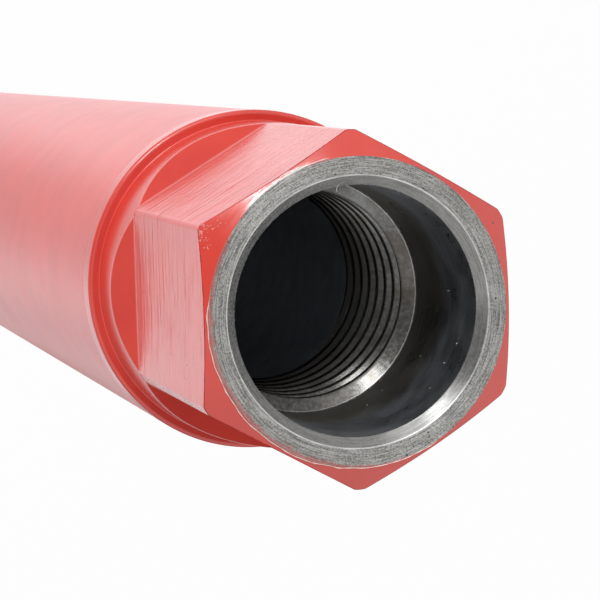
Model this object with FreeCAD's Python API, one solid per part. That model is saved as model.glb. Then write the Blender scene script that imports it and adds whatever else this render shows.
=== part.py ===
import FreeCAD, Part
import math
import os

from FreeCAD import Vector

# Core drill bit: a steel barrel with a crown of cutting segments at its lower end and a
# hexagonal connector with a threaded bore at its upper end. Millimetres.
# The bit stands on its crown. +Z runs from the crown up to the connector's mouth, and the
# origin is the centre of the cutting face. The hexagon's first flat faces +X.

# Crown of cutting segments
crown_diameter = 52.0
segment_thickness = 3.5
segment_count = 5
segment_length = 24.0
segment_height = 10.0
segment_corner_radius = 0.8
segment_edge_chamfer = 0.4

# Barrel tube. The crown cuts a kerf wider than the tube, which leaves it a side clearance.
kerf_clearance = 1.1
tube_wall = 2.0
drilling_length = 300.0
seam_chamfer = 0.2

# Outside of the connector, from its mouth down to the rim that stands on the tube
connector_height = 54.0
across_flats = 41.0
flat_length = 38.0
flat_run_out_angle = 31.0
flat_root_radius = 0.8
corner_turned_off = 0.37
corner_chamfer_angle = 30.0
mouth_land_inset = 0.5
rim_standing_proud = 0.05
rim_height = 4.2
rim_edge_chamfer = 0.6

# Spigot of the connector inside the tube
spigot_length = 10.0
spigot_clearance = 0.05
spigot_chamfer = 1.0
spigot_wall = 4.85

# Bore of the connector, from its mouth down
thread_diameter = 31.75
thread_depth = 1.375
thread_length = 26.5
thread_chamfer = 0.4
recess_clearance = 0.375
recess_depth = 24.8
recess_floor_angle = 30.0
mouth_chamfer_width = 1.35
mouth_chamfer_depth = 1.2

# Distance that the flat cutter's stock reaches past the metal it removes
cutter_overrun = 1.0

# Radii worked out from the sizes above
crown_radius = crown_diameter / 2
core_radius = crown_radius - segment_thickness
tube_radius = crown_radius - kerf_clearance
tube_bore_radius = tube_radius - tube_wall
rim_radius = tube_radius + rim_standing_proud
flat_distance = across_flats / 2
shank_radius = flat_distance / math.cos(math.radians(30)) - corner_turned_off
land_radius = flat_distance - mouth_land_inset
spigot_radius = tube_bore_radius - spigot_clearance
relief_radius = spigot_radius - spigot_wall
minor_radius = thread_diameter / 2 - thread_depth
recess_radius = thread_diameter / 2 + recess_clearance

# Levels along the axis worked out from the sizes above
tube_bottom_z = segment_height
tube_top_z = drilling_length
rim_top_z = tube_top_z + rim_height
spigot_end_z = tube_top_z - spigot_length
mouth_z = tube_top_z + connector_height
flat_end_z = mouth_z - flat_length
recess_floor_z = mouth_z - recess_depth
thread_end_z = recess_floor_z - thread_length

axis_point = Vector(0, 0, 0)
axis_direction = Vector(0, 0, 1)


def rounded_face(corners):
    """Flat face in the XZ plane. Each corner is (x, z, radius), and a radius makes a tangent arc."""
    entries = []
    arcs = []
    exits = []
    for index, (x, z, radius) in enumerate(corners):
        corner = Vector(x, 0, z)
        if radius == 0:
            entries.append(corner)
            arcs.append(None)
            exits.append(corner)
            continue
        previous_x, previous_z, _ = corners[index - 1]
        next_x, next_z, _ = corners[(index + 1) % len(corners)]
        back = (Vector(previous_x, 0, previous_z) - corner).normalize()
        ahead = (Vector(next_x, 0, next_z) - corner).normalize()
        half_angle = back.getAngle(ahead) / 2
        reach = radius / math.tan(half_angle)
        sagitta = radius / math.sin(half_angle) - radius
        entry = corner + back * reach
        leave = corner + ahead * reach
        middle = corner + (back + ahead).normalize() * sagitta
        entries.append(entry)
        arcs.append(Part.Arc(entry, middle, leave).toShape())
        exits.append(leave)
    edges = []
    for index, arc in enumerate(arcs):
        if arc is not None:
            edges.append(arc)
        next_entry = entries[(index + 1) % len(corners)]
        edges.append(Part.LineSegment(exits[index], next_entry).toShape())
    return Part.Face(Part.Wire(edges))


def turned(corners):
    """Solid of revolution about the bit's axis, from the corners of its half section."""
    return rounded_face(corners).revolve(axis_point, axis_direction, 360)


def connector_blank():
    """Connector as it leaves the lathe: round shank, rim, spigot and finished bore."""
    chamfer_drop = (shank_radius - land_radius) * math.tan(math.radians(corner_chamfer_angle))
    floor_drop = (recess_radius - minor_radius) * math.tan(math.radians(recess_floor_angle))
    return turned([
        (recess_radius + mouth_chamfer_width, mouth_z, 0),
        (land_radius, mouth_z, 0),
        (shank_radius, mouth_z - chamfer_drop, 0),
        (shank_radius, rim_top_z, 0),
        (rim_radius - rim_edge_chamfer, rim_top_z, 0),
        (rim_radius, rim_top_z - rim_edge_chamfer, 0),
        (rim_radius, tube_top_z + seam_chamfer, 0),
        (rim_radius - seam_chamfer, tube_top_z, 0),
        (spigot_radius, tube_top_z, 0),
        (spigot_radius, spigot_end_z + spigot_chamfer, 0),
        (spigot_radius - spigot_chamfer, spigot_end_z, 0),
        (relief_radius, spigot_end_z, 0),
        (relief_radius, thread_end_z, 0),
        (minor_radius + thread_chamfer, thread_end_z, 0),
        (minor_radius, thread_end_z + thread_chamfer, 0),
        (minor_radius, recess_floor_z - floor_drop, 0),
        (recess_radius, recess_floor_z, 0),
        (recess_radius, mouth_z - mouth_chamfer_depth, 0),
    ])


def flat_cutter():
    """Stock that one spanner flat removes: level along the flat, then sloping out of the shank."""
    outer_x = shank_radius + cutter_overrun
    run_out = (outer_x - flat_distance) / math.tan(math.radians(flat_run_out_angle))
    section = rounded_face([
        (flat_distance, mouth_z + cutter_overrun, 0),
        (outer_x, mouth_z + cutter_overrun, 0),
        (outer_x, flat_end_z - run_out, 0),
        (flat_distance, flat_end_z, flat_root_radius),
    ])
    section.translate(Vector(0, -shank_radius, 0))
    return section.extrude(Vector(0, 2 * shank_radius, 0))


def connector():
    """Turned connector with six spanner flats milled into its shank."""
    solid = connector_blank()
    for index in range(6):
        cutter = flat_cutter()
        cutter.rotate(axis_point, axis_direction, 60 * index)
        solid = solid.cut(cutter)
    return solid


def barrel_tube():
    """Plain tube from the crown up to the connector's rim, with its top outer edge broken."""
    return turned([
        (tube_bore_radius, tube_bottom_z, 0),
        (tube_radius, tube_bottom_z, 0),
        (tube_radius, tube_top_z - seam_chamfer, 0),
        (tube_radius - seam_chamfer, tube_top_z, 0),
        (tube_bore_radius, tube_top_z, 0),
    ])


def is_upright(edge):
    """Whether an edge runs straight along the bit's axis."""
    start = edge.tangentAt(edge.FirstParameter)
    end = edge.tangentAt(edge.LastParameter)
    return min(abs(start.z), abs(end.z)) > 0.999


def segment():
    """Curved cutting segment centred on +X, from the cutting face up to the tube's end."""
    angle = math.degrees(segment_length / ((core_radius + crown_radius) / 2))
    section = rounded_face([
        (core_radius, segment_edge_chamfer, 0),
        (core_radius + segment_edge_chamfer, 0, 0),
        (crown_radius - segment_edge_chamfer, 0, 0),
        (crown_radius, segment_edge_chamfer, 0),
        (crown_radius, segment_height, 0),
        (core_radius, segment_height, 0),
    ])
    section.rotate(axis_point, axis_direction, -angle / 2)
    solid = section.revolve(axis_point, axis_direction, angle)
    return solid.makeFillet(segment_corner_radius, [edge for edge in solid.Edges if is_upright(edge)])


def write(name, shape):
    """Write one sub-part, and print how it came out."""
    shape.exportStep("parts/" + name + ".step")
    print(name, "solids", len(shape.Solids), "valid", shape.isValid(), "volume", round(shape.Volume, 2))


os.makedirs("parts", exist_ok=True)
write("connector", connector())
write("barrel_tube", barrel_tube())
for number in range(segment_count):
    cutting_segment = segment()
    cutting_segment.rotate(axis_point, axis_direction, 360 * number / segment_count)
    write("segment_" + str(number + 1), cutting_segment)
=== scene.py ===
import math
import random

import bmesh
import bpy
import numpy as np
from mathutils import Matrix, Vector


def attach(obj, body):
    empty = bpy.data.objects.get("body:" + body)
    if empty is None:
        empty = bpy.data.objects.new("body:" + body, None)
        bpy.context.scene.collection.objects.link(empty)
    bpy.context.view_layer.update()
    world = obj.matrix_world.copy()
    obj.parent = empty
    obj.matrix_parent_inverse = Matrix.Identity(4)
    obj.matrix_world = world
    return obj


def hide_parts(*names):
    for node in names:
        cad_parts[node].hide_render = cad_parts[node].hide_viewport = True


# Core drill bit, standing on its crown, seen from above its threaded mouth. The frame is in
# metres. The mesh builders below work in millimetres, and mesh_object() scales them.

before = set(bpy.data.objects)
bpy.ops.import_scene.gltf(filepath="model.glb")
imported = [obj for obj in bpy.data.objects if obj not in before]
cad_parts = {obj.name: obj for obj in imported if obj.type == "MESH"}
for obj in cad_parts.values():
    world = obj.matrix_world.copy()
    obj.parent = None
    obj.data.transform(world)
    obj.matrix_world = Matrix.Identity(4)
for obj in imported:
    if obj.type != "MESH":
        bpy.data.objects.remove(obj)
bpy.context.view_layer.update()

# One millimetre in metres, and the distances in millimetres below which points and levels are one
MM = 0.001
SAME_POINT = 1e-5
SAME_LEVEL = 1e-4

# Crown of cutting segments and the barrel tube above it, sized as in the CAD model
CROWN_RADIUS = 26.0
SEGMENT_COUNT = 5
SEGMENT_THICKNESS = 3.5
SEGMENT_LENGTH = 24.0
SEGMENT_HEIGHT = 10.0
SEGMENT_CORNER_RADIUS = 0.8
KERF_CLEARANCE = 1.1
TUBE_WALL = 2.0
DRILLING_LENGTH = 300.0
CORE_RADIUS = CROWN_RADIUS - SEGMENT_THICKNESS
SEGMENT_MEAN_RADIUS = (CORE_RADIUS + CROWN_RADIUS) / 2
TUBE_RADIUS = CROWN_RADIUS - KERF_CLEARANCE
TUBE_BORE_RADIUS = TUBE_RADIUS - TUBE_WALL
TUBE_BOTTOM_Z = SEGMENT_HEIGHT
TUBE_TOP_Z = DRILLING_LENGTH
TUBE_COLUMNS = 256

# Outside of the connector, from its mouth down to the rim that stands on the tube
CONNECTOR_HEIGHT = 54.0
FLAT_COUNT = 6
ACROSS_FLATS = 41.0
FLAT_LENGTH = 38.0
FLAT_RUN_OUT_ANGLE = 31
LEAST_RUN_OUT = 0.4
CORNER_TURNED_OFF = 0.37
CORNER_CHAMFER_ANGLE = 30
MOUTH_LAND_INSET = 0.5
RIM_STANDING_PROUD = 0.05
RIM_HEIGHT = 4.2
MOUTH_Z = TUBE_TOP_Z + CONNECTOR_HEIGHT
FLAT_END_Z = MOUTH_Z - FLAT_LENGTH
RIM_TOP_Z = TUBE_TOP_Z + RIM_HEIGHT
FLAT_ANGLE = 360 / FLAT_COUNT
FLAT_DISTANCE = ACROSS_FLATS / 2
LAND_RADIUS = FLAT_DISTANCE - MOUTH_LAND_INSET
SHANK_RADIUS = FLAT_DISTANCE / math.cos(math.radians(FLAT_ANGLE / 2)) - CORNER_TURNED_OFF
RIM_RADIUS = TUBE_RADIUS + RIM_STANDING_PROUD
CORNER_CHAMFER_SLOPE = math.tan(math.radians(CORNER_CHAMFER_ANGLE))
RUN_OUT_SLOPE = math.tan(math.radians(FLAT_RUN_OUT_ANGLE))

# Thread: 1 1/4 inch, 7 turns to the inch, right-handed
THREAD_DIAMETER = 31.75
THREAD_DEPTH = 1.375
THREAD_FLANK_ANGLE = 30
PITCH = 25.4 / 7
CREST_LAND = 1.0
FIRST_CREST_Z = 327.85
THREAD_COLUMNS = 144
ROOT_RADIUS = THREAD_DIAMETER / 2
MINOR_RADIUS = ROOT_RADIUS - THREAD_DEPTH
FLANK_REACH = THREAD_DEPTH * math.tan(math.radians(THREAD_FLANK_ANGLE))
ROOT_LAND = PITCH - CREST_LAND - 2 * FLANK_REACH

# Bore of the connector from its mouth down, and the spigot inside the tube
MOUTH_CHAMFER_WIDTH = 1.35
MOUTH_CHAMFER_DEPTH = 1.2
RECESS_CLEARANCE = 0.375
RECESS_DEPTH = 24.8
RECESS_FLOOR_ANGLE = 30
LIP_STANDING_IN = 0.05
LIP_HEIGHT = 0.1
THREAD_LENGTH = 26.5
SPIGOT_LENGTH = 10.0
SPIGOT_CLEARANCE = 0.05
SPIGOT_CHAMFER = 1.0
SPIGOT_WALL = 4.85
RECESS_RADIUS = ROOT_RADIUS + RECESS_CLEARANCE
MOUTH_RADIUS = RECESS_RADIUS + MOUTH_CHAMFER_WIDTH
RECESS_FLOOR_Z = MOUTH_Z - RECESS_DEPTH
LIP_RADIUS = MINOR_RADIUS - LIP_STANDING_IN
LIP_Z = RECESS_FLOOR_Z - (RECESS_RADIUS - LIP_RADIUS) * math.tan(math.radians(RECESS_FLOOR_ANGLE))
THREAD_START_Z = LIP_Z - LIP_HEIGHT
THREAD_END_Z = RECESS_FLOOR_Z - THREAD_LENGTH
SPIGOT_RADIUS = TUBE_BORE_RADIUS - SPIGOT_CLEARANCE
SPIGOT_END_Z = TUBE_TOP_Z - SPIGOT_LENGTH
RELIEF_RADIUS = SPIGOT_RADIUS - SPIGOT_WALL

# Connector's columns in degrees: wide on the flats and narrow round each ridge between two flats
FLAT_STEP = 1.25
FLAT_REACH = 27.5
RIDGE_STEP = 0.25

# Ridges: how softly a flat passes into the shank, and where and by how much one is sharper
RIDGE_BLEND = 0.12
SHARP_RIDGE = 150
SHARP_RIDGE_LEAN = 0.2

# Surfaces of the connector and of the tube, as indexes of their materials
PAINT, FACE, CHAMFER, RECESS, THREAD, INSIDE, EDGE, PAINT_EDGE = range(8)
TUBE_PAINT, TUBE_STEEL = range(2)

# Largest part of the way to the next corner that a rounding takes, and that its extra point adds
MOST_ROUNDING = 0.4
MOST_SUPPORT = 0.06

# Edges that bend by more degrees than this stay sharp
SHARP_ANGLE = 30

# Cutting segment from its top down: each level, and how far the outline is drawn in there
BACKING_EDGE_Z = 8.45
BACKING_STEP = 0.1
SEGMENT_LEVELS = (
    (SEGMENT_HEIGHT, 0.12),
    (SEGMENT_HEIGHT - BACKING_STEP, 0.02),
    (BACKING_EDGE_Z + BACKING_STEP, 0.02),
    (BACKING_EDGE_Z, 0.1),
    (BACKING_EDGE_Z - BACKING_STEP, 0.0),
    (0.45, 0.0),
    (0.2, 0.07),
    (0.06, 0.2),
    (0.0, 0.42),
)
SEGMENT_CORNER_STEPS = 5
SEGMENT_SIDE_STEPS = 40

# Grit in the segments: its seed, number and sizes, its shares in the lower face and in the outer
# side, and where its middles lie
GRIT_SEED = 40
GRIT_COUNT = 170
GRIT_SIZES = (0.1, 0.19)
GRIT_FACE_SHARE = 0.35
GRIT_OUTER_SHARE = 0.35
GRIT_LEVELS = (0.6, 8.1)
GRIT_DEPTH = 0.08
GRIT_FACE_DEPTH = 0.07
GRIT_FACE_MARGIN = 0.5
GRIT_HALF_SPREAD = 0.46

# Burr along the mouth's outer edge: a bead whose radius swells and whose place sways, each by a
# sum of waves, of rates in waves to a turn
BEAD_SIDES = 6
BURR_STEP = 0.5
BURR_RADIUS = 0.055
BURR_LEAST = 0.03
BURR_MOST = 0.09
BURR_SWELL = 0.02
BURR_SWELL_WAVES = 6
BURR_SWELL_RATES = (20, 110)
BURR_OVERHANG = 0.1
BURR_SWAY = 0.06
BURR_SWAY_WAVES = 7
BURR_SWAY_RATES = (4, 40)
BURR_TAPER_STEPS = 8
BURR_TIP = 0.2

# Swarf: chips in the recess, flakes at the sharp ridge and a curled sliver at the mouth
SWARF_SEED = 11
FULL_TURN = 6.28
FLAKE_WIDTHS = (0.3, 0.8)
FLAKE_FLATNESS = 0.35
CHIP_COUNT = 12
CHIP_SIZES = (0.06, 0.08, 0.14)
CHIP_ANGLES = (-75, 22)
CHIP_DEPTHS = (2, 22)
CHIP_STAND_OFF = 0.02
FLAKE_COUNT = 56
FLAKE_SIZES = (0.06, 0.13)
FLAKE_OFFSET = 0.6
FLAKE_SCATTER = 2.6
FLAKE_RIDGE_REACH = 12
FLAKE_EDGE_MARGIN = 0.12
FLAKE_SPREAD = 1.4
CURL_STEPS = 12
CURL_ANGLE = 97
CURL_SWING = 1.2
CURL_START = 0.3
CURL_REACH = 1.0
CURL_DEPTH = 1.0
CURL_DROP = 1.2
CURL_RADIUS = 0.045


# Meshes

def polar(radius, angle, level):
    """Point at that radius and level, in the direction of an angle in radians."""
    return Vector((radius * math.cos(angle), radius * math.sin(angle), level))


def softened(corners, steps, support):
    """Points along a line of corners, and the surface after each point.

    Each corner is (radius, level, rounding, surface after it, surface of its rounding). A corner
    with a rounding is rounded over that distance, with one more point on each side. Where its
    rounding has no surface of its own, it takes the surfaces beside it."""
    points = []
    surfaces = []
    for index, (radius, level, rounding, surface, edge) in enumerate(corners):
        corner = np.array((radius, level))
        if rounding == 0:
            points.append(corner)
            surfaces.append(surface)
            continue
        back = np.array(corners[index - 1][:2]) - corner
        ahead = np.array(corners[index + 1][:2]) - corner
        back_length = np.linalg.norm(back)
        ahead_length = np.linalg.norm(ahead)
        back = back / back_length
        ahead = ahead / ahead_length
        bend = min(rounding, MOST_ROUNDING * back_length, MOST_ROUNDING * ahead_length)
        margin = min(support, MOST_SUPPORT * back_length, MOST_SUPPORT * ahead_length)
        start = corner + back * bend
        end = corner + ahead * bend
        before = corners[index - 1][3]
        points.append(corner + back * (bend + margin))
        surfaces.append(before)
        for step in range(steps + 1):
            part = step / steps
            rest = 1 - part
            points.append(rest ** 2 * start + 2 * part * rest * corner + part * part * end)
            beside = before if part < 0.5 else surface
            surfaces.append(beside if edge is None or step == steps else edge)
        points.append(corner + ahead * (bend + margin))
        surfaces.append(surface)
    return points, surfaces


def mesh_object(name, shape, materials):
    """Object from a mesh in millimetres, smooth but for its sharp edges, riding on the body."""
    bmesh.ops.scale(shape, vec=(MM, MM, MM), verts=shape.verts)
    bmesh.ops.recalc_face_normals(shape, faces=shape.faces)
    mesh = bpy.data.meshes.new(name)
    shape.to_mesh(mesh)
    shape.free()
    for material in materials:
        mesh.materials.append(material)
    mesh.shade_smooth()
    mesh.set_sharp_from_angle(angle=math.radians(SHARP_ANGLE))
    piece = bpy.data.objects.new(name, mesh)
    bpy.context.scene.collection.objects.link(piece)
    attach(piece, "root")
    return piece


def add_strip(shape, here, there, surfaces):
    """Quads between two columns of vertices. Each quad takes the surface after its first point."""
    for row in range(min(len(here), len(there)) - 1):
        face = shape.faces.new((here[row], there[row], there[row + 1], here[row + 1]))
        face.material_index = surfaces[row]


def add_columns(shape, columns, surfaces):
    """Quads between columns of points, all the way round."""
    vertices = [[shape.verts.new(point) for point in column] for column in columns]
    for index, here in enumerate(vertices):
        add_strip(shape, here, vertices[(index + 1) % len(vertices)], surfaces)


def join_rings(shape, rings):
    """Quads between closed rings of vertices, and one face over each end."""
    for here, there in zip(rings, rings[1:]):
        for index in range(len(here)):
            after = (index + 1) % len(here)
            shape.faces.new((here[index], here[after], there[after], there[index]))
    shape.faces.new(rings[0])
    shape.faces.new(rings[-1])


def smooth_min(first, second, blend):
    """Lesser of two numbers, with a smooth passage where they differ by less than blend."""
    near = max(blend - abs(first - second), 0.0) / blend
    return min(first, second) - near * near * blend / 4


def column_angles():
    """Angles round the connector in degrees, each with its offset from the nearest flat's middle."""
    flat_steps = round(2 * FLAT_REACH / FLAT_STEP)
    ridge_steps = round((FLAT_ANGLE - 2 * FLAT_REACH) / RIDGE_STEP)
    offsets = [FLAT_STEP * step - FLAT_REACH for step in range(flat_steps + 1)]
    offsets += [FLAT_REACH + RIDGE_STEP * step for step in range(1, ridge_steps)]
    angles = []
    for flat in range(FLAT_COUNT):
        for offset in offsets:
            angles.append((FLAT_ANGLE * flat + offset, min(abs(offset), FLAT_ANGLE - abs(offset))))
    return angles


def chamfer_level(radius):
    """Height of the hexagon's corner chamfer at that radius."""
    return MOUTH_Z - (radius - LAND_RADIUS) * CORNER_CHAMFER_SLOPE


def connector_corners(degrees, offset):
    """Half section of the connector at an angle that is offset from a flat's middle, from the lip
    round to the relief. One ridge is sharper, because the shank is a little wider towards it."""
    cosine = math.cos(math.radians(offset))
    lean = max(math.cos(math.radians(degrees - SHARP_RIDGE)), 0) ** 3
    side = smooth_min(FLAT_DISTANCE / cosine, SHANK_RADIUS + SHARP_RIDGE_LEAN * lean, RIDGE_BLEND)
    run_out = max(SHANK_RADIUS * cosine - FLAT_DISTANCE, 0.0) / RUN_OUT_SLOPE
    ramp_end = FLAT_END_Z - max(run_out, LEAST_RUN_OUT)
    # Roundings given EDGE take a brighter steel, a painted highlight
    return [
        (LIP_RADIUS, THREAD_START_Z, 0, THREAD, None),
        (LIP_RADIUS, LIP_Z, 0.06, THREAD, None),
        (RECESS_RADIUS, RECESS_FLOOR_Z, 0.14, RECESS, EDGE),
        (RECESS_RADIUS, MOUTH_Z - MOUTH_CHAMFER_DEPTH, 0.07, CHAMFER, None),
        (MOUTH_RADIUS, MOUTH_Z, 0.12, FACE, EDGE),
        (LAND_RADIUS, MOUTH_Z, 0.06, PAINT, None),
        (side, chamfer_level(side), 0.1, PAINT, PAINT_EDGE),
        (side, FLAT_END_Z, 0.45, PAINT, None),
        (SHANK_RADIUS, ramp_end, 0.3, PAINT, None),
        (SHANK_RADIUS, RIM_TOP_Z, 0.2, PAINT, None),
        (RIM_RADIUS, RIM_TOP_Z, 0.8, PAINT, None),
        (RIM_RADIUS, TUBE_TOP_Z, 0.25, INSIDE, None),
        (SPIGOT_RADIUS, TUBE_TOP_Z, 0.1, INSIDE, None),
        (SPIGOT_RADIUS, SPIGOT_END_Z + SPIGOT_CHAMFER, 0.1, INSIDE, None),
        (SPIGOT_RADIUS - SPIGOT_CHAMFER, SPIGOT_END_Z, 0.1, INSIDE, None),
        (RELIEF_RADIUS, SPIGOT_END_Z, 0.2, INSIDE, None),
        (RELIEF_RADIUS, THREAD_END_Z, 0, INSIDE, None),
    ]


def thread_turn():
    """Points of one turn of the thread's section, from the middle of a crest up to the next one."""
    half_land = CREST_LAND / 2
    turn = [
        (MINOR_RADIUS, 0, 0, THREAD, None),
        (MINOR_RADIUS, half_land, 0.4, THREAD, None),
        (ROOT_RADIUS, half_land + FLANK_REACH, 0.45, THREAD, None),
        (ROOT_RADIUS, half_land + FLANK_REACH + ROOT_LAND, 0.45, THREAD, None),
        (MINOR_RADIUS, PITCH - half_land, 0.4, THREAD, None),
        (MINOR_RADIUS, PITCH, 0, THREAD, None),
    ]
    points, _ = softened(turn, steps=4, support=0.06)
    return points[:-1]


def cut_level(shape, level, side):
    """Cut away what lies past a level, above it for side 1 and below it for side -1."""
    bmesh.ops.bisect_plane(
        shape,
        geom=shape.verts[:] + shape.edges[:] + shape.faces[:],
        dist=SAME_POINT,
        plane_co=(0, 0, level),
        plane_no=(0, 0, side),
        clear_outer=True,
    )


def add_thread(shape):
    """Helical surface of the thread, cut level under the recess floor's lip and at the relief.

    It is made with a turn to spare at each end. The cuts go through all of the mesh, so the
    thread is its first part."""
    section = thread_turn()
    turns = math.ceil((THREAD_START_Z - THREAD_END_Z) / PITCH) + 3
    lowest = FIRST_CREST_Z - (turns - 2) * PITCH
    rows = []
    for turn in range(turns):
        rows.extend((radius, lowest + level + PITCH * turn) for radius, level in section)
    grid = []
    for index in range(THREAD_COLUMNS):
        turned = index / THREAD_COLUMNS
        angle = 2 * math.pi * turned
        points = [polar(radius, angle, level + PITCH * turned) for radius, level in rows]
        grid.append([shape.verts.new(point) for point in points])
    grid.append(grid[0][len(section):])
    for here, there in zip(grid, grid[1:]):
        add_strip(shape, here, there, [THREAD] * len(rows))
    cut_level(shape, THREAD_START_Z, 1)
    cut_level(shape, THREAD_END_Z, -1)
    loose = [vertex for vertex in shape.verts if not vertex.link_faces]
    bmesh.ops.delete(shape, geom=loose, context="VERTS")


def fill_level(shape, level, surface):
    """Flat ring of triangles between the two open loops at one level."""
    loops = []
    for edge in shape.edges:
        if edge.is_boundary and all(abs(vertex.co.z - level) < SAME_LEVEL for vertex in edge.verts):
            loops.append(edge)
    made = bmesh.ops.triangle_fill(
        shape, use_beauty=True, use_dissolve=False, edges=loops, normal=(0, 0, 1)
    )
    for item in made["geom"]:
        if isinstance(item, bmesh.types.BMFace):
            item.material_index = surface


def connector(materials):
    """Connector with its hexagon, shoulders, mouth and threaded bore, as one closed mesh."""
    shape = bmesh.new()
    add_thread(shape)
    columns = []
    for degrees, offset in column_angles():
        angle = math.radians(degrees)
        points, surfaces = softened(connector_corners(degrees, offset), steps=6, support=0.1)
        columns.append([polar(radius, angle, level) for radius, level in points])
    add_columns(shape, columns, surfaces)
    fill_level(shape, THREAD_START_Z, THREAD)
    fill_level(shape, THREAD_END_Z, INSIDE)
    piece = mesh_object("threaded_connector", shape, materials)
    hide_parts("connector")


def tube(materials):
    """Barrel tube with the edges of both its ends softened, from the middle of its bore round."""
    shape = bmesh.new()
    middle_z = (TUBE_TOP_Z + TUBE_BOTTOM_Z) / 2
    corners = [
        (TUBE_BORE_RADIUS, middle_z, 0, TUBE_STEEL, None),
        (TUBE_BORE_RADIUS, TUBE_BOTTOM_Z, 0.15, TUBE_STEEL, None),
        (TUBE_RADIUS, TUBE_BOTTOM_Z, 0.25, TUBE_PAINT, None),
        (TUBE_RADIUS, TUBE_TOP_Z, 0.25, TUBE_STEEL, None),
        (TUBE_BORE_RADIUS, TUBE_TOP_Z, 0.15, TUBE_STEEL, None),
        (TUBE_BORE_RADIUS, middle_z, 0, TUBE_STEEL, None),
    ]
    points, surfaces = softened(corners, steps=4, support=0.1)
    columns = []
    for index in range(TUBE_COLUMNS):
        angle = 2 * math.pi * index / TUBE_COLUMNS
        columns.append([polar(radius, angle, level) for radius, level in points])
    add_columns(shape, columns, surfaces)
    bmesh.ops.remove_doubles(shape, verts=shape.verts, dist=SAME_POINT)
    piece = mesh_object("painted_barrel", shape, materials)
    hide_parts("barrel_tube")


def segment_plan(inset):
    """Outline of a cutting segment from above, as (arc length, radius), drawn in by inset."""
    half = SEGMENT_LENGTH / 2 - inset
    inner = CORE_RADIUS + inset
    outer = CROWN_RADIUS - inset
    radius = SEGMENT_CORNER_RADIUS - inset / 2
    corners = (
        (half - radius, outer - radius, 0, outer),
        (radius - half, outer - radius, 90, None),
        (radius - half, inner + radius, 180, inner),
        (half - radius, inner + radius, 270, None),
    )
    outline = []
    for along, across, start, side in corners:
        for step in range(SEGMENT_CORNER_STEPS + 1):
            turn = math.radians(start + 90 * step / SEGMENT_CORNER_STEPS)
            outline.append((along + radius * math.cos(turn), across + radius * math.sin(turn)))
        if side is not None:
            for step in range(1, SEGMENT_SIDE_STEPS):
                outline.append((along - 2 * along * step / SEGMENT_SIDE_STEPS, side))
    return outline


def tumbled(dice, second_axis):
    """Rotation by random angles about X and a second axis."""
    first = Matrix.Rotation(dice.uniform(0, FULL_TURN), 3, "X")
    second = Matrix.Rotation(dice.uniform(0, FULL_TURN), 3, second_axis)
    return first @ second


def add_grit(shape, placed, dice):
    """Grains in a segment's lower face and both its curved sides, none past the crown's sizes."""
    for _ in range(GRIT_COUNT):
        along = dice.uniform(-GRIT_HALF_SPREAD, GRIT_HALF_SPREAD) * SEGMENT_LENGTH
        choice = dice.random()
        if choice < GRIT_FACE_SHARE:
            across = dice.uniform(CORE_RADIUS + GRIT_FACE_MARGIN, CROWN_RADIUS - GRIT_FACE_MARGIN)
            spot = placed(along, across, GRIT_FACE_DEPTH)
        elif choice < GRIT_FACE_SHARE + GRIT_OUTER_SHARE:
            spot = placed(along, CROWN_RADIUS - GRIT_DEPTH, dice.uniform(*GRIT_LEVELS))
        else:
            spot = placed(along, CORE_RADIUS + GRIT_DEPTH, dice.uniform(*GRIT_LEVELS))
        size = dice.uniform(*GRIT_SIZES)
        grain = bmesh.ops.create_icosphere(shape, subdivisions=1, radius=size)
        turn = tumbled(dice, "Z")
        for vertex in grain["verts"]:
            moved = turn @ vertex.co + spot
            reach = math.hypot(moved.x, moved.y)
            limit = min(max(reach, CORE_RADIUS), CROWN_RADIUS) / reach
            vertex.co = Vector((moved.x * limit, moved.y * limit, max(moved.z, 0.0)))


def cutting_segment(number, material):
    """Sintered segment with its plain backing layer and the grit that stands out of it."""
    shape = bmesh.new()
    middle = 2 * math.pi * number / SEGMENT_COUNT

    def placed(along, across, level):
        return polar(across, middle + along / SEGMENT_MEAN_RADIUS, level)

    rings = []
    for level, inset in SEGMENT_LEVELS:
        plan = segment_plan(inset)
        rings.append([shape.verts.new(placed(along, across, level)) for along, across in plan])
    join_rings(shape, rings)
    add_grit(shape, placed, random.Random(GRIT_SEED + number))
    piece = mesh_object("cutting_segment_" + str(number + 1), shape, [material])
    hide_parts("segment_" + str(number + 1))


def wander(dice, waves, rates):
    """Smooth random function of an angle in degrees, within about one either way."""
    parts = [(dice.uniform(*rates), dice.uniform(0, 2 * math.pi)) for _ in range(waves)]

    def value(degrees):
        turn = math.radians(degrees)
        return sum(math.sin(rate * turn + start) for rate, start in parts) / math.sqrt(waves)

    return value


def add_bead(shape, path, radii):
    """Thin round bead along a path of points, closed at both ends."""
    rings = []
    for index, centre in enumerate(path):
        before = path[max(index - 1, 0)]
        after = path[min(index + 1, len(path) - 1)]
        turn = (after - before).to_track_quat("Z", "Y")
        ring = []
        for side in range(BEAD_SIDES):
            spoke = polar(1, 2 * math.pi * side / BEAD_SIDES, 0) * radii[index]
            ring.append(shape.verts.new(centre + turn @ spoke))
        rings.append(ring)
    join_rings(shape, rings)


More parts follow.
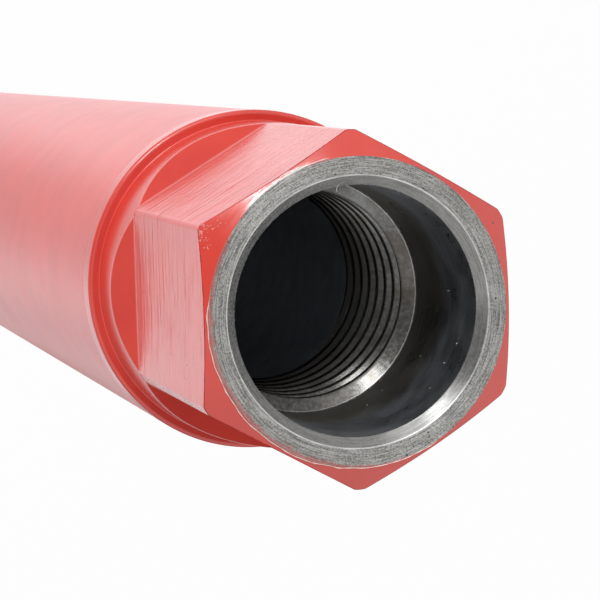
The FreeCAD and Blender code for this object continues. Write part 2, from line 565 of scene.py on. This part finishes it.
def burr(name, material, first, last, seed):
    """Ragged burr that the grinding left along the mouth's outer edge, from the first angle to the
    last one in degrees."""
    shape = bmesh.new()
    dice = random.Random(seed)
    sway = wander(dice, BURR_SWAY_WAVES, BURR_SWAY_RATES)
    swell = wander(dice, BURR_SWELL_WAVES, BURR_SWELL_RATES)
    count = round((last - first) / BURR_STEP)
    path = []
    radii = []
    for step in range(count + 1):
        degrees = first + (last - first) * step / count
        taper = min(min(step, count - step) / BURR_TAPER_STEPS + BURR_TIP, 1)
        thick = BURR_RADIUS + BURR_SWELL * swell(degrees)
        thick = max(min(thick, BURR_MOST), BURR_LEAST) * taper
        radius = LAND_RADIUS + BURR_OVERHANG + BURR_SWAY * sway(degrees)
        level = min(chamfer_level(radius), MOUTH_Z - thick)
        path.append(polar(radius, math.radians(degrees), level))
        radii.append(thick)
    add_bead(shape, path, radii)
    mesh_object(name, shape, [material])


def add_flake(shape, dice, spot, size):
    """Flat angular flake lying at a spot, not above the mouth."""
    grain = bmesh.ops.create_icosphere(shape, subdivisions=1, radius=size)
    turn = tumbled(dice, "Y")
    squeeze = Matrix.Diagonal((1, dice.uniform(*FLAKE_WIDTHS), FLAKE_FLATNESS))
    for vertex in grain["verts"]:
        moved = turn @ squeeze @ vertex.co + spot
        vertex.co = Vector((moved.x, moved.y, min(moved.z, MOUTH_Z)))


def add_chips(shape, dice):
    """Loose chips on one side of the recess."""
    for _ in range(CHIP_COUNT):
        angle = math.radians(dice.uniform(*CHIP_ANGLES))
        level = MOUTH_Z - dice.uniform(*CHIP_DEPTHS)
        spot = polar(RECESS_RADIUS - CHIP_STAND_OFF, angle, level)
        add_flake(shape, dice, spot, dice.choice(CHIP_SIZES))


def add_corner_flakes(shape, dice):
    """Flakes on the chamfer of the sharp ridge, most of them near its outer edge."""
    for _ in range(FLAKE_COUNT):
        offset = dice.gauss(FLAKE_OFFSET, FLAKE_SCATTER)
        from_flat = FLAT_ANGLE / 2 - min(abs(offset), FLAKE_RIDGE_REACH)
        edge = FLAT_DISTANCE / math.cos(math.radians(from_flat))
        radius = edge - FLAKE_EDGE_MARGIN - dice.uniform(0, 1) ** 2 * FLAKE_SPREAD
        spot = polar(radius, math.radians(SHARP_RIDGE + offset), chamfer_level(radius))
        add_flake(shape, dice, spot, dice.uniform(*FLAKE_SIZES))


def add_curl(shape):
    """Curled sliver that hangs off the mouth's chamfer into the recess."""
    path = []
    for step in range(CURL_STEPS + 1):
        part = step / CURL_STEPS
        angle = math.radians(CURL_ANGLE + CURL_SWING * math.sin(3 * part))
        radius = RECESS_RADIUS + CURL_START - CURL_REACH * part
        level = MOUTH_Z - CURL_DEPTH - CURL_DROP * part * part
        path.append(polar(radius, angle, level))
    add_bead(shape, path, [CURL_RADIUS] * len(path))


def swarf(material):
    """Loose chips in the recess, flakes on one painted corner and a curled sliver at the mouth."""
    shape = bmesh.new()
    dice = random.Random(SWARF_SEED)
    add_chips(shape, dice)
    add_corner_flakes(shape, dice)
    add_curl(shape)
    mesh_object("swarf", shape, [material])


# Nodes

def set_inputs(tree, node, inputs):
    """Give inputs, by name or number, a value, or a link where a socket is given."""
    for name, value in inputs.items():
        if isinstance(value, bpy.types.NodeSocket):
            tree.links.new(value, node.inputs[name])
        else:
            node.inputs[name].default_value = value


def add_node(tree, kind, inputs, **settings):
    """New node with these settings and inputs."""
    made = tree.nodes.new(kind)
    for name, value in settings.items():
        setattr(made, name, value)
    set_inputs(tree, made, inputs)
    return made


def empty_tree(owner):
    """Node tree of a material or a world, with nothing in it."""
    owner.use_nodes = True
    owner.node_tree.nodes.clear()
    return owner.node_tree


def calculate(tree, operation, first, second):
    """Result of one operation on two numbers or sockets."""
    inputs = {0: first, 1: second}
    return add_node(tree, "ShaderNodeMath", inputs, operation=operation).outputs[0]


def plus(tree, first, second):
    """Sum of two numbers or sockets."""
    return calculate(tree, "ADD", first, second)


def times(tree, first, *others):
    """Product of numbers or sockets."""
    for other in others:
        first = calculate(tree, "MULTIPLY", first, other)
    return first


def larger(tree, first, second):
    """Larger of two numbers or sockets."""
    return calculate(tree, "MAXIMUM", first, second)


def mixture(tree, first, second, part):
    """Part of the first value, and the rest of the second."""
    return plus(tree, times(tree, first, part), times(tree, second, 1 - part))


def measure(tree, operation, vector, other=(0.0, 0.0, 0.0)):
    """Number that an operation gives for a vector socket, such as its length."""
    inputs = {0: vector, 1: other}
    return add_node(tree, "ShaderNodeVectorMath", inputs, operation=operation).outputs["Value"]


def facing(tree, vector, direction):
    """Dot product of a vector socket and the unit vector of a direction."""
    return measure(tree, "DOT_PRODUCT", vector, tuple(Vector(direction).normalized()))


def share(tree, value, low, high, start=0.0, end=1.0):
    """Smooth passage from start to end as value goes from low to high."""
    inputs = {0: value, 1: low, 2: high, 3: start, 4: end}
    return add_node(tree, "ShaderNodeMapRange", inputs, interpolation_type="SMOOTHSTEP").outputs[0]


def share_mm(tree, length, low, high, start=0.0, end=1.0):
    """Smooth passage from start to end over a length in metres, with low and high in millimetres."""
    return share(tree, length, low * MM, high * MM, start, end)


def noise(tree, vector, scale, detail=3.0, roughness=0.55):
    """Smooth random value, 0 to 1, at a vector."""
    inputs = {"Vector": vector, "Scale": scale, "Detail": detail, "Roughness": roughness}
    return add_node(tree, "ShaderNodeTexNoise", inputs).outputs[0]


def noise_share(tree, value, start, end):
    """Smooth passage from start to end over the range that noise mostly takes."""
    return share(tree, value, 0.3, 0.7, start, end)


def line_noise(tree, at, across, fineness, spread, detail=3.0, roughness=0.55):
    """Noise in lines round the axis, fine across them and slow along them."""
    inputs = {0: at["outward"], 3: spread}
    turned = add_node(tree, "ShaderNodeVectorMath", inputs, operation="SCALE").outputs[0]
    split = add_node(tree, "ShaderNodeSeparateXYZ", {0: turned})
    inputs = {0: split.outputs[0], 1: split.outputs[1], 2: times(tree, across, fineness)}
    vector = add_node(tree, "ShaderNodeCombineXYZ", inputs).outputs[0]
    return noise(tree, vector, 1.0, detail, roughness)


def specks(tree, point, scale, low, high, among):
    """Scattered round specks, 1 within low and 0 past high, where the value among is high."""
    inputs = {"Vector": point, "Scale": scale}
    away = add_node(tree, "ShaderNodeTexVoronoi", inputs).outputs["Distance"]
    return times(tree, share(tree, away, low, high, 1.0, 0.0), among)


def blended(tree, factor, first, second):
    """Colour between two colours or sockets."""
    inputs = {0: factor, 6: first, 7: second}
    return add_node(tree, "ShaderNodeMix", inputs, data_type="RGBA").outputs[2]


def bump(tree, height, relief, before=None):
    """Normal with a relief in millimetres, on top of the one before."""
    inputs = {"Height": height, "Distance": relief * MM, "Strength": 1.0}
    if before is not None:
        inputs["Normal"] = before
    return add_node(tree, "ShaderNodeBump", inputs).outputs[0]


def places(tree):
    """Sockets of a surface point in the row frame: the point, its height, radius and direction."""
    point = add_node(tree, "ShaderNodeTexCoord", {}).outputs["Object"]
    split = add_node(tree, "ShaderNodeSeparateXYZ", {0: point})
    inputs = {0: split.outputs[0], 1: split.outputs[1]}
    flat = add_node(tree, "ShaderNodeCombineXYZ", inputs).outputs[0]
    outward = add_node(tree, "ShaderNodeVectorMath", {0: flat}, operation="NORMALIZE").outputs[0]
    radius = measure(tree, "LENGTH", flat)
    return {"point": point, "z": split.outputs[2], "radius": radius, "outward": outward}


def brush(tree, shader, strength):
    """Turning marks round the axis: highlights spread across them."""
    round_axis = add_node(tree, "ShaderNodeTangent", {}, direction_type="RADIAL", axis="Z")
    inputs = {"Anisotropic": strength, "Anisotropic Rotation": 0.25, "Tangent": round_axis.outputs[0]}
    set_inputs(tree, shader, inputs)


# Materials

PAINT_RED = (0.77, 0.044, 0.023, 1)
PAINT_DEEP = (0.70, 0.033, 0.017, 1)
PAINT_DUST = (0.12, 0.02, 0.02, 1)
PAINT_RESIDUE = (0.50, 0.10, 0.085, 1)
# Dark and paler red of the thin line along the chamfer's sharp edge
EDGE_LINE_DARK = (0.28, 0.024, 0.02, 1)
EDGE_LINE_PALE = (0.62, 0.04, 0.03, 1)
BARE_STEEL = (0.52, 0.5, 0.48, 1)
GROUND_PALE = (0.6, 0.592, 0.565, 1)
GROUND_DARK = (0.19, 0.188, 0.179, 1)
GROUND_PIT = (0.03, 0.03, 0.03, 1)
CHAMFER_PALE = (0.33, 0.325, 0.315, 1)
CHAMFER_DARK = (0.2, 0.197, 0.19, 1)
# Recess colours: bluish near the mouth, and browner and darker, with painted shade, deeper in
RECESS_BLUE = (0.58, 0.6, 0.64, 1)
RECESS_BROWN = (0.46, 0.43, 0.375, 1)
RECESS_LINE = (0.18, 0.18, 0.18, 1)
THREAD_PALE = (0.18, 0.173, 0.16, 1)
THREAD_DARK = (0.10, 0.096, 0.088, 1)
THREAD_STAIN = (0.085, 0.073, 0.058, 1)
# Painted shade that the thread's colour fades to towards the bottom of the bore
THREAD_PAINTED_SHADE = (0.03, 0.029, 0.028, 1)
INNER_PALE = (0.34, 0.36, 0.41, 1)
INNER_DARK = (0.27, 0.29, 0.33, 1)
# Painted highlight: brighter steel for the roundings at the land's inner edge and the recess floor's
# edge
HIGHLIGHT_EDGE_PALE = (0.8, 0.79, 0.77, 1)
HIGHLIGHT_EDGE_DARK = (0.5, 0.49, 0.475, 1)
FLAKE_PALE = (0.98, 0.96, 0.92, 1)
FLAKE_DARK = (0.85, 0.83, 0.79, 1)
SINTER_PALE = (0.40, 0.375, 0.335, 1)
SINTER_DARK = (0.16, 0.15, 0.135, 1)
GRIT_PALE = (0.62, 0.6, 0.45, 1)

# Sides of the mouth with the bare patch and with most of the paint residue
BARE_SIDE = (-0.53, 0.85, 0)
RESIDUE_SIDE = (-0.9, -0.45, 0)


def new_material(name):
    """Material with one principled shader. Gives the material, its tree and its shader."""
    material = bpy.data.materials.new(name)
    tree = empty_tree(material)
    shader = tree.nodes.new("ShaderNodeBsdfPrincipled")
    add_node(tree, "ShaderNodeOutputMaterial", {0: shader.outputs[0]})
    return material, tree, shader


def red_paint():
    """Glossy sprayed paint over turned and milled steel, with a bare patch beside the mouth.

    It is a little less glossy on the tube than on the connector."""
    material, tree, shader = new_material("red_paint")
    at = places(tree)
    cloud = noise(tree, at["point"], 90.0, 4.0)
    colour = blended(tree, share(tree, cloud, 0.35, 0.7), PAINT_RED, PAINT_DEEP)
    rare = noise(tree, at["point"], 310.0, 1.0)
    dust = specks(tree, at["point"], 420.0, 0.05, 0.12, share(tree, rare, 0.62, 0.66))
    colour = blended(tree, dust, colour, PAINT_DUST)
    scratch = line_noise(tree, at, at["radius"], 9000.0, 14.0)
    rubbed = plus(tree, at["radius"], times(tree, scratch, 1.4 * MM))
    inner = share_mm(tree, rubbed, LAND_RADIUS + 0.8, LAND_RADIUS + 1.3, 1.0, 0.0)
    beside = share(tree, facing(tree, at["outward"], BARE_SIDE), 0.955, 0.985)
    upper = share_mm(tree, at["z"], MOUTH_Z - 1.5, MOUTH_Z - 0.8)
    bare = times(tree, inner, beside, upper)
    gloss = noise_share(tree, noise(tree, at["point"], 160.0, 2.0), 0.18, 0.2)
    softer = share_mm(tree, at["z"], TUBE_TOP_Z - 0.5, TUBE_TOP_Z + 0.5, 0.097, 0.0)
    milled = line_noise(tree, at, at["z"], 950.0, 1.5, 2.0, 0.7)
    milled = times(tree, milled, share_mm(tree, at["z"], FLAT_END_Z - 0.5, FLAT_END_Z + 0.5))
    normal = bump(tree, milled, 0.12)
    normal = bump(tree, times(tree, scratch, bare), 0.04, normal)
    set_inputs(tree, shader, {
        "Base Color": blended(tree, bare, colour, BARE_STEEL),
        "Metallic": times(tree, bare, 0.9),
        "Roughness": plus(tree, plus(tree, gloss, softer), times(tree, bare, 0.22)),
        "IOR": 1.8,
        "Normal": normal,
    })
    return material


def dark_edge_line():
    """Thin dark line along the chamfer's sharp edge, broken up at random."""
    material, tree, shader = new_material("dark_edge_line")
    broken = noise(tree, places(tree)["point"], 700.0)
    colour = blended(tree, share(tree, broken, 0.4, 0.6), EDGE_LINE_DARK, EDGE_LINE_PALE)
    set_inputs(tree, shader, {"Base Color": colour, "Roughness": 0.5, "IOR": 1.3})
    return material


def ground_steel():
    """Ground face round the mouth: fine grain, some rings, and paint left along its outer edge."""
    material, tree, shader = new_material("ground_steel")
    at = places(tree)
    rings = line_noise(tree, at, at["radius"], 8000.0, 5.0)
    grain = noise(tree, at["point"], 4200.0, 3.0, 0.7)
    mottle = mixture(tree, rings, grain, 0.55)
    colour = blended(tree, share(tree, mottle, 0.37, 0.63), GROUND_DARK, GROUND_PALE)
    rare = noise(tree, at["point"], 500.0, 1.0)
    pits = specks(tree, at["point"], 900.0, 0.08, 0.16, share(tree, rare, 0.53, 0.6))
    colour = blended(tree, pits, colour, GROUND_PIT)
    rag = noise(tree, at["point"], 900.0, 4.0, 0.65)
    edge = plus(tree, at["radius"], times(tree, rag, 1.6 * MM))
    left = share(tree, facing(tree, at["outward"], RESIDUE_SIDE), 0.1, 0.95)
    reach = share(tree, left, 0.0, 1.0, (LAND_RADIUS + 0.8) * MM, (LAND_RADIUS + 0.2) * MM)
    residue = share_mm(tree, calculate(tree, "SUBTRACT", edge, reach), -0.15, 0.25)
    brush(tree, shader, 0.6)
    set_inputs(tree, shader, {
        "Base Color": blended(tree, times(tree, residue, 0.6), colour, PAINT_RESIDUE),
        "Metallic": share(tree, residue, 0.0, 1.0, 1.0, 0.4),
        "Roughness": noise_share(tree, grain, 0.38, 0.55),
        "Normal": bump(tree, grain, 0.022, bump(tree, rings, 0.012)),
    })
    return material


def turned_steel(name, pale, dark, smoothest, roughest, fineness, relief):
    """Turned steel with fine lines round the axis. The relief is in millimetres."""
    material, tree, shader = new_material(name)
    at = places(tree)
    lines = line_noise(tree, at, at["z"], fineness, 6.0)
    grain = noise(tree, at["point"], 2500.0, 3.0, 0.65)
    mottle = mixture(tree, lines, grain, 0.6)
    brush(tree, shader, 0.8)
    set_inputs(tree, shader, {
        "Base Color": blended(tree, share(tree, mottle, 0.34, 0.66), dark, pale),
        "Metallic": 1.0,
        "Roughness": noise_share(tree, grain, smoothest, roughest),
        "Normal": bump(tree, grain, relief / 2, bump(tree, lines, relief)),
    })
    return material


def dressed_recess():
    """Smooth turned recess, bluish near the mouth; browner towards the thread, and darker there with
    painted shade.
    """
    material, tree, shader = new_material("recess_steel")
    at = places(tree)
    lines = line_noise(tree, at, at["z"], 2500.0, 3.0, 2.0)
    cloud = noise(tree, at["point"], 130.0)
    depth = plus(tree, at["z"], times(tree, cloud, 8 * MM))
    # Painted shade: the colour turns browner and darker deeper in, towards the thread
    mouthward = share_mm(tree, depth, MOUTH_Z - 13.5, MOUTH_Z - 5.5)
    colour = blended(tree, mouthward, RECESS_BROWN, RECESS_BLUE)
    brush(tree, shader, 0.6)
    set_inputs(tree, shader, {
        "Base Color": blended(tree, noise_share(tree, lines, 0.0, 0.3), colour, RECESS_LINE),
        "Metallic": 1.0,
        "Roughness": noise_share(tree, cloud, 0.26, 0.36),
        "Normal": bump(tree, lines, 0.004),
    })
    return material


def cut_thread():
    """Cut thread and the cone above it, with the chatter marks of the tap across the flanks and
    painted shade deep down.
    """
    material, tree, shader = new_material("thread_steel")
    at = places(tree)
    lines = line_noise(tree, at, at["radius"], 5000.0, 9.0)
    grain = noise(tree, at["point"], 1800.0, 3.0, 0.65)
    chatter = noise(tree, at["outward"], 75.0, 1.0)
    colour = blended(tree, share(tree, grain, 0.34, 0.66), THREAD_DARK, THREAD_PALE)
    stained = share(tree, noise(tree, at["point"], 300.0, 4.0), 0.48, 0.66, 0.0, 0.6)
    colour = blended(tree, stained, colour, THREAD_STAIN)
    # Painted shade: the thread darkens to nearly black towards the bottom of the bore
    height = share_mm(tree, at["z"], THREAD_END_Z + 1.3, RECESS_FLOOR_Z - 1.2)
    crest = share_mm(tree, at["radius"], MINOR_RADIUS + 0.05, MINOR_RADIUS + 0.3, 0.2, 0.0)
    normal = bump(tree, grain, 0.006, bump(tree, lines, 0.004))
    brush(tree, shader, 0.4)
    set_inputs(tree, shader, {
        "Base Color": blended(tree, height, THREAD_PAINTED_SHADE, colour),
        "Metallic": 1.0,
        "Roughness": plus(tree, noise_share(tree, grain, 0.17, 0.28), crest),
        "Normal": bump(tree, chatter, 0.005, normal),
    })
    return material


def sintered_metal():
    """Matt sintered metal of the cutting segments, with pale grit in it."""
    material, tree, shader = new_material("sintered_metal")
    at = places(tree)
    grain = noise(tree, at["point"], 1500.0, 5.0, 0.7)
    blotch = noise(tree, at["point"], 220.0)
    colour = blended(tree, noise_share(tree, grain, 0.0, 1.0), SINTER_DARK, SINTER_PALE)
    grit = specks(tree, at["point"], 1100.0, 0.16, 0.24, share(tree, blotch, 0.45, 0.6))
    set_inputs(tree, shader, {
        "Base Color": blended(tree, grit, colour, GRIT_PALE),
        "Metallic": 0.75,
        "Roughness": noise_share(tree, grain, 0.5, 0.72),
        "Normal": bump(tree, grain, 0.06),
    })
    return material


paint = red_paint()
face_steel = ground_steel()
chamfer_steel = turned_steel("chamfer_steel", CHAMFER_PALE, CHAMFER_DARK, 0.25, 0.34, 7000.0, 0.003)
recess_steel = dressed_recess()
thread_steel = cut_thread()
inner_steel = turned_steel("inner_steel", INNER_PALE, INNER_DARK, 0.6, 0.7, 300.0, 0.01)
# Painted highlight: a brighter steel on the EDGE roundings, so that they show as bright lines
painted_highlight_edge = turned_steel("painted_highlight_edge", HIGHLIGHT_EDGE_PALE, HIGHLIGHT_EDGE_DARK, 0.25, 0.4, 5000.0, 0.003)
segment_metal = sintered_metal()
flake_metal = turned_steel("flake_metal", FLAKE_PALE, FLAKE_DARK, 0.5, 0.65, 5000.0, 0.003)
paint_edge = dark_edge_line()

# Pieces, with the connector's materials in the order of its surfaces
connector([
    paint,
    face_steel,
    chamfer_steel,
    recess_steel,
    thread_steel,
    inner_steel,
    painted_highlight_edge,
    paint_edge,
])
burr("long_burr", flake_metal, first=172, last=300, seed=3)
burr("short_burr", flake_metal, first=100, last=140, seed=4)
swarf(flake_metal)
tube([paint, inner_steel])
for number in range(SEGMENT_COUNT):
    cutting_segment(number, segment_metal)


# Stage, light and camera. Distances and places are in metres.

# Floor: half its width, its tint in reflections, the matt part of what the eye sees, and the
# colour of its matt part, with painted shade: pale on the side that the lamps light, dark on the
# other
FLOOR_HALF = 2.5
FLOOR_TINT = (0.97, 0.98, 1.015, 1)
FLOOR_MATT = 0.015
GROUND_LIT = (0.6, 0.6, 0.6, 1)
GROUND_UNLIT = (0.06, 0.06, 0.06, 1)
WHITE = (1, 1, 1, 1)

# Spots of painted shadow on the floor, which only the bit's reflections show
FLOOR_DIP = (-0.077, 0.03, 0.0)
LOWER_DIP = (-0.02, -0.055, 0.0)
SHADOW_SIDE = (0.045, -0.065, 0.0)

# Directions of the soft light and of two patches that are darker in reflections
LIGHT_SIDE = (0.62, -0.5, 0.6)
DARK_SIDE = (-0.76, 0.265, 0.6)
OVERHEAD = (0.25, -0.1, 0.96)

# Directions of the lamps from the mouth, the side of the floor that they light, and a tint
LARGE_SIDE = (-0.29, 0.80, 0.50)
KEY_SIDE = (-0.31, 0.68, 0.665)
LOW_PANEL_SIDE = (-0.6, 0.8, 0.15)
SIDE_PANEL_SIDE = (-0.93, -0.36, -0.05)
LIT_FLOOR_SIDE = (-0.6, 0.8, 0)
KEY_TINT = (0.92, 0.96, 1.0)

# Camera: its lens and sensor in millimetres, its place, and its right and up directions
CAMERA_LENS = 147.93
CAMERA_SENSOR = 36.0
CAMERA_PLACE = (-0.0959, 0.0345, 0.6521)
CAMERA_RIGHT = (0.95785, -0.02805, 0.2857)
CAMERA_UP = (0.05643, 0.9942, -0.0916)


def light_path(tree):
    """Sockets that tell camera rays and mirrored rays."""
    path = tree.nodes.new("ShaderNodeLightPath")
    mirrored = larger(tree, path.outputs["Is Glossy Ray"], path.outputs["Is Transmission Ray"])
    return path.outputs["Is Camera Ray"], mirrored


def floor_spot(tree, point, middle, near, far, least):
    """Factor of a spot of painted shadow on the floor: least within near of its middle, and 1 past
    far.
    """
    return share(tree, measure(tree, "DISTANCE", point, middle), near, far, least, 1.0)


def floor_mirrored(tree, point):
    """Brightness that the floor has in reflections, with painted light and shade: above white near
    the bit, darker far off and towards -Y, and darker in three spots of painted shadow near it."""
    across = add_node(tree, "ShaderNodeSeparateXYZ", {0: point}).outputs[1]
    reach = measure(tree, "LENGTH", point)
    spots = times(
        tree,
        floor_spot(tree, point, FLOOR_DIP, 0.02, 0.085, 0.53),
        floor_spot(tree, point, SHADOW_SIDE, 0.03, 0.055, 0.1),
        floor_spot(tree, point, LOWER_DIP, 0.0, 0.065, 0.72),
    )
    # Painted light: reflections show the floor above white close to the bit
    close = share(tree, reach, 0.085, 0.12, 1.23, 1.28)
    far = share(tree, reach, 0.25, 0.7, 1.04, 0.36)
    turned_away = times(
        tree,
        share(tree, across, -0.10, 0.0, 0.85, 1.0),
        share(tree, across, -0.5, -0.12, 0.2, 1.0),
    )
    return times(tree, spots, close, turned_away, far)


def build_floor():
    """Pale floor that the bit stands on: white to the eye but for a faint shadow, with painted light
    and shade where the bit mirrors it, and matt, with painted shade on one side, for the light that
    it throws back."""
    half = FLOOR_HALF
    mesh = bpy.data.meshes.new("floor")
    corners = [(-half, -half, 0), (half, -half, 0), (half, half, 0), (-half, half, 0)]
    mesh.from_pydata(corners, [], [(0, 1, 2, 3)])
    floor = bpy.data.objects.new("floor", mesh)
    bpy.context.scene.collection.objects.link(floor)
    material = bpy.data.materials.new("floor_white")
    tree = empty_tree(material)
    material.cycles.emission_sampling = "NONE"
    point = add_node(tree, "ShaderNodeTexCoord", {}).outputs["Object"]
    camera, mirrored = light_path(tree)
    shown = times(tree, floor_mirrored(tree, point), mirrored)
    tint = blended(tree, camera, FLOOR_TINT, WHITE)
    inputs = {"Color": tint, "Strength": larger(tree, camera, shown)}
    white = add_node(tree, "ShaderNodeEmission", inputs).outputs[0]
    # Painted shade: the floor's matt colour is dark on the side away from the lamps
    lit_side = share(tree, facing(tree, point, LIT_FLOOR_SIDE), -0.12, 0.05)
    ground = blended(tree, lit_side, GROUND_UNLIT, GROUND_LIT)
    matt = add_node(tree, "ShaderNodeBsdfDiffuse", {"Color": ground}).outputs[0]
    factor = times(tree, larger(tree, camera, mirrored), 1 - FLOOR_MATT)
    mixed = add_node(tree, "ShaderNodeMixShader", {0: factor, 1: matt, 2: white}).outputs[0]
    add_node(tree, "ShaderNodeOutputMaterial", {0: mixed})
    mesh.materials.append(material)


def build_world():
    """White surroundings. Their soft light comes mostly from one side, and reflections show two
    darker patches in them."""
    world = bpy.data.worlds.new("studio")
    bpy.context.scene.world = world
    tree = empty_tree(world)
    world.cycles.sampling_method = "NONE"
    direction = add_node(tree, "ShaderNodeTexCoord", {}).outputs["Generated"]
    camera, mirrored = light_path(tree)
    soft = share(tree, facing(tree, direction, LIGHT_SIDE), -0.35, 1.0, 0.03, 0.84)
    unseen = calculate(tree, "SUBTRACT", 1.0, larger(tree, camera, mirrored))
    patch = share(tree, facing(tree, direction, DARK_SIDE), 0.86, 0.97, 1.0, 0.4)
    overhead = share(tree, facing(tree, direction, OVERHEAD), 0.93, 0.985, 1.0, 0.15)
    shown = larger(tree, camera, times(tree, patch, overhead, mirrored))
    inputs = {"Color": WHITE, "Strength": plus(tree, times(tree, soft, unseen), shown)}
    light = add_node(tree, "ShaderNodeBackground", inputs).outputs[0]
    add_node(tree, "ShaderNodeOutputWorld", {0: light})


def add_softbox(name, direction, distance, size, radiance, mirrored=True):
    """Soft rectangular lamp in that direction from the mouth, facing it, and mirrored or not."""
    lamp = bpy.data.lights.new(name, "AREA")
    lamp.shape = "RECTANGLE"
    lamp.size, lamp.size_y = size
    lamp.energy = radiance * math.pi * size[0] * size[1]
    holder = bpy.data.objects.new(name, lamp)
    bpy.context.scene.collection.objects.link(holder)
    toward = Vector(direction).normalized()
    holder.location = Vector((0, 0, MOUTH_Z * MM)) + toward * distance
    holder.rotation_mode = "QUATERNION"
    holder.rotation_quaternion = toward.to_track_quat("Z", "Y")
    holder.visible_camera = False
    holder.visible_glossy = mirrored
    return lamp


def build_lamps():
    """Two softboxes that the bit mirrors, and two panels that light it without being mirrored."""
    add_softbox("large_softbox", LARGE_SIDE, 1.0, (0.83, 0.56), radiance=1.5)
    key_lamp = add_softbox("key_softbox", KEY_SIDE, 0.8, (0.16, 0.16), radiance=18.0)
    key_lamp.color = KEY_TINT
    add_softbox("low_panel", LOW_PANEL_SIDE, 1.0, (0.8, 0.6), radiance=3.1, mirrored=False)
    add_softbox("side_panel", SIDE_PANEL_SIDE, 1.0, (0.5, 0.4), radiance=2.7, mirrored=False)


def build_camera():
    """Camera at the photograph's viewing angle."""
    data = bpy.data.cameras.new("camera")
    data.sensor_width = CAMERA_SENSOR
    data.lens = CAMERA_LENS
    data.clip_start = 0.01
    data.clip_end = 20.0
    camera = bpy.data.objects.new("camera", data)
    bpy.context.scene.collection.objects.link(camera)
    right = Vector(CAMERA_RIGHT)
    up = Vector(CAMERA_UP)
    back = right.cross(up).normalized()
    turn = Matrix((right, up, back)).transposed()
    camera.matrix_world = Matrix.Translation(CAMERA_PLACE) @ turn.to_4x4()
    bpy.context.scene.camera = camera


build_floor()
build_world()
build_lamps()
build_camera()
bpy.context.scene.view_settings.view_transform = "Standard"
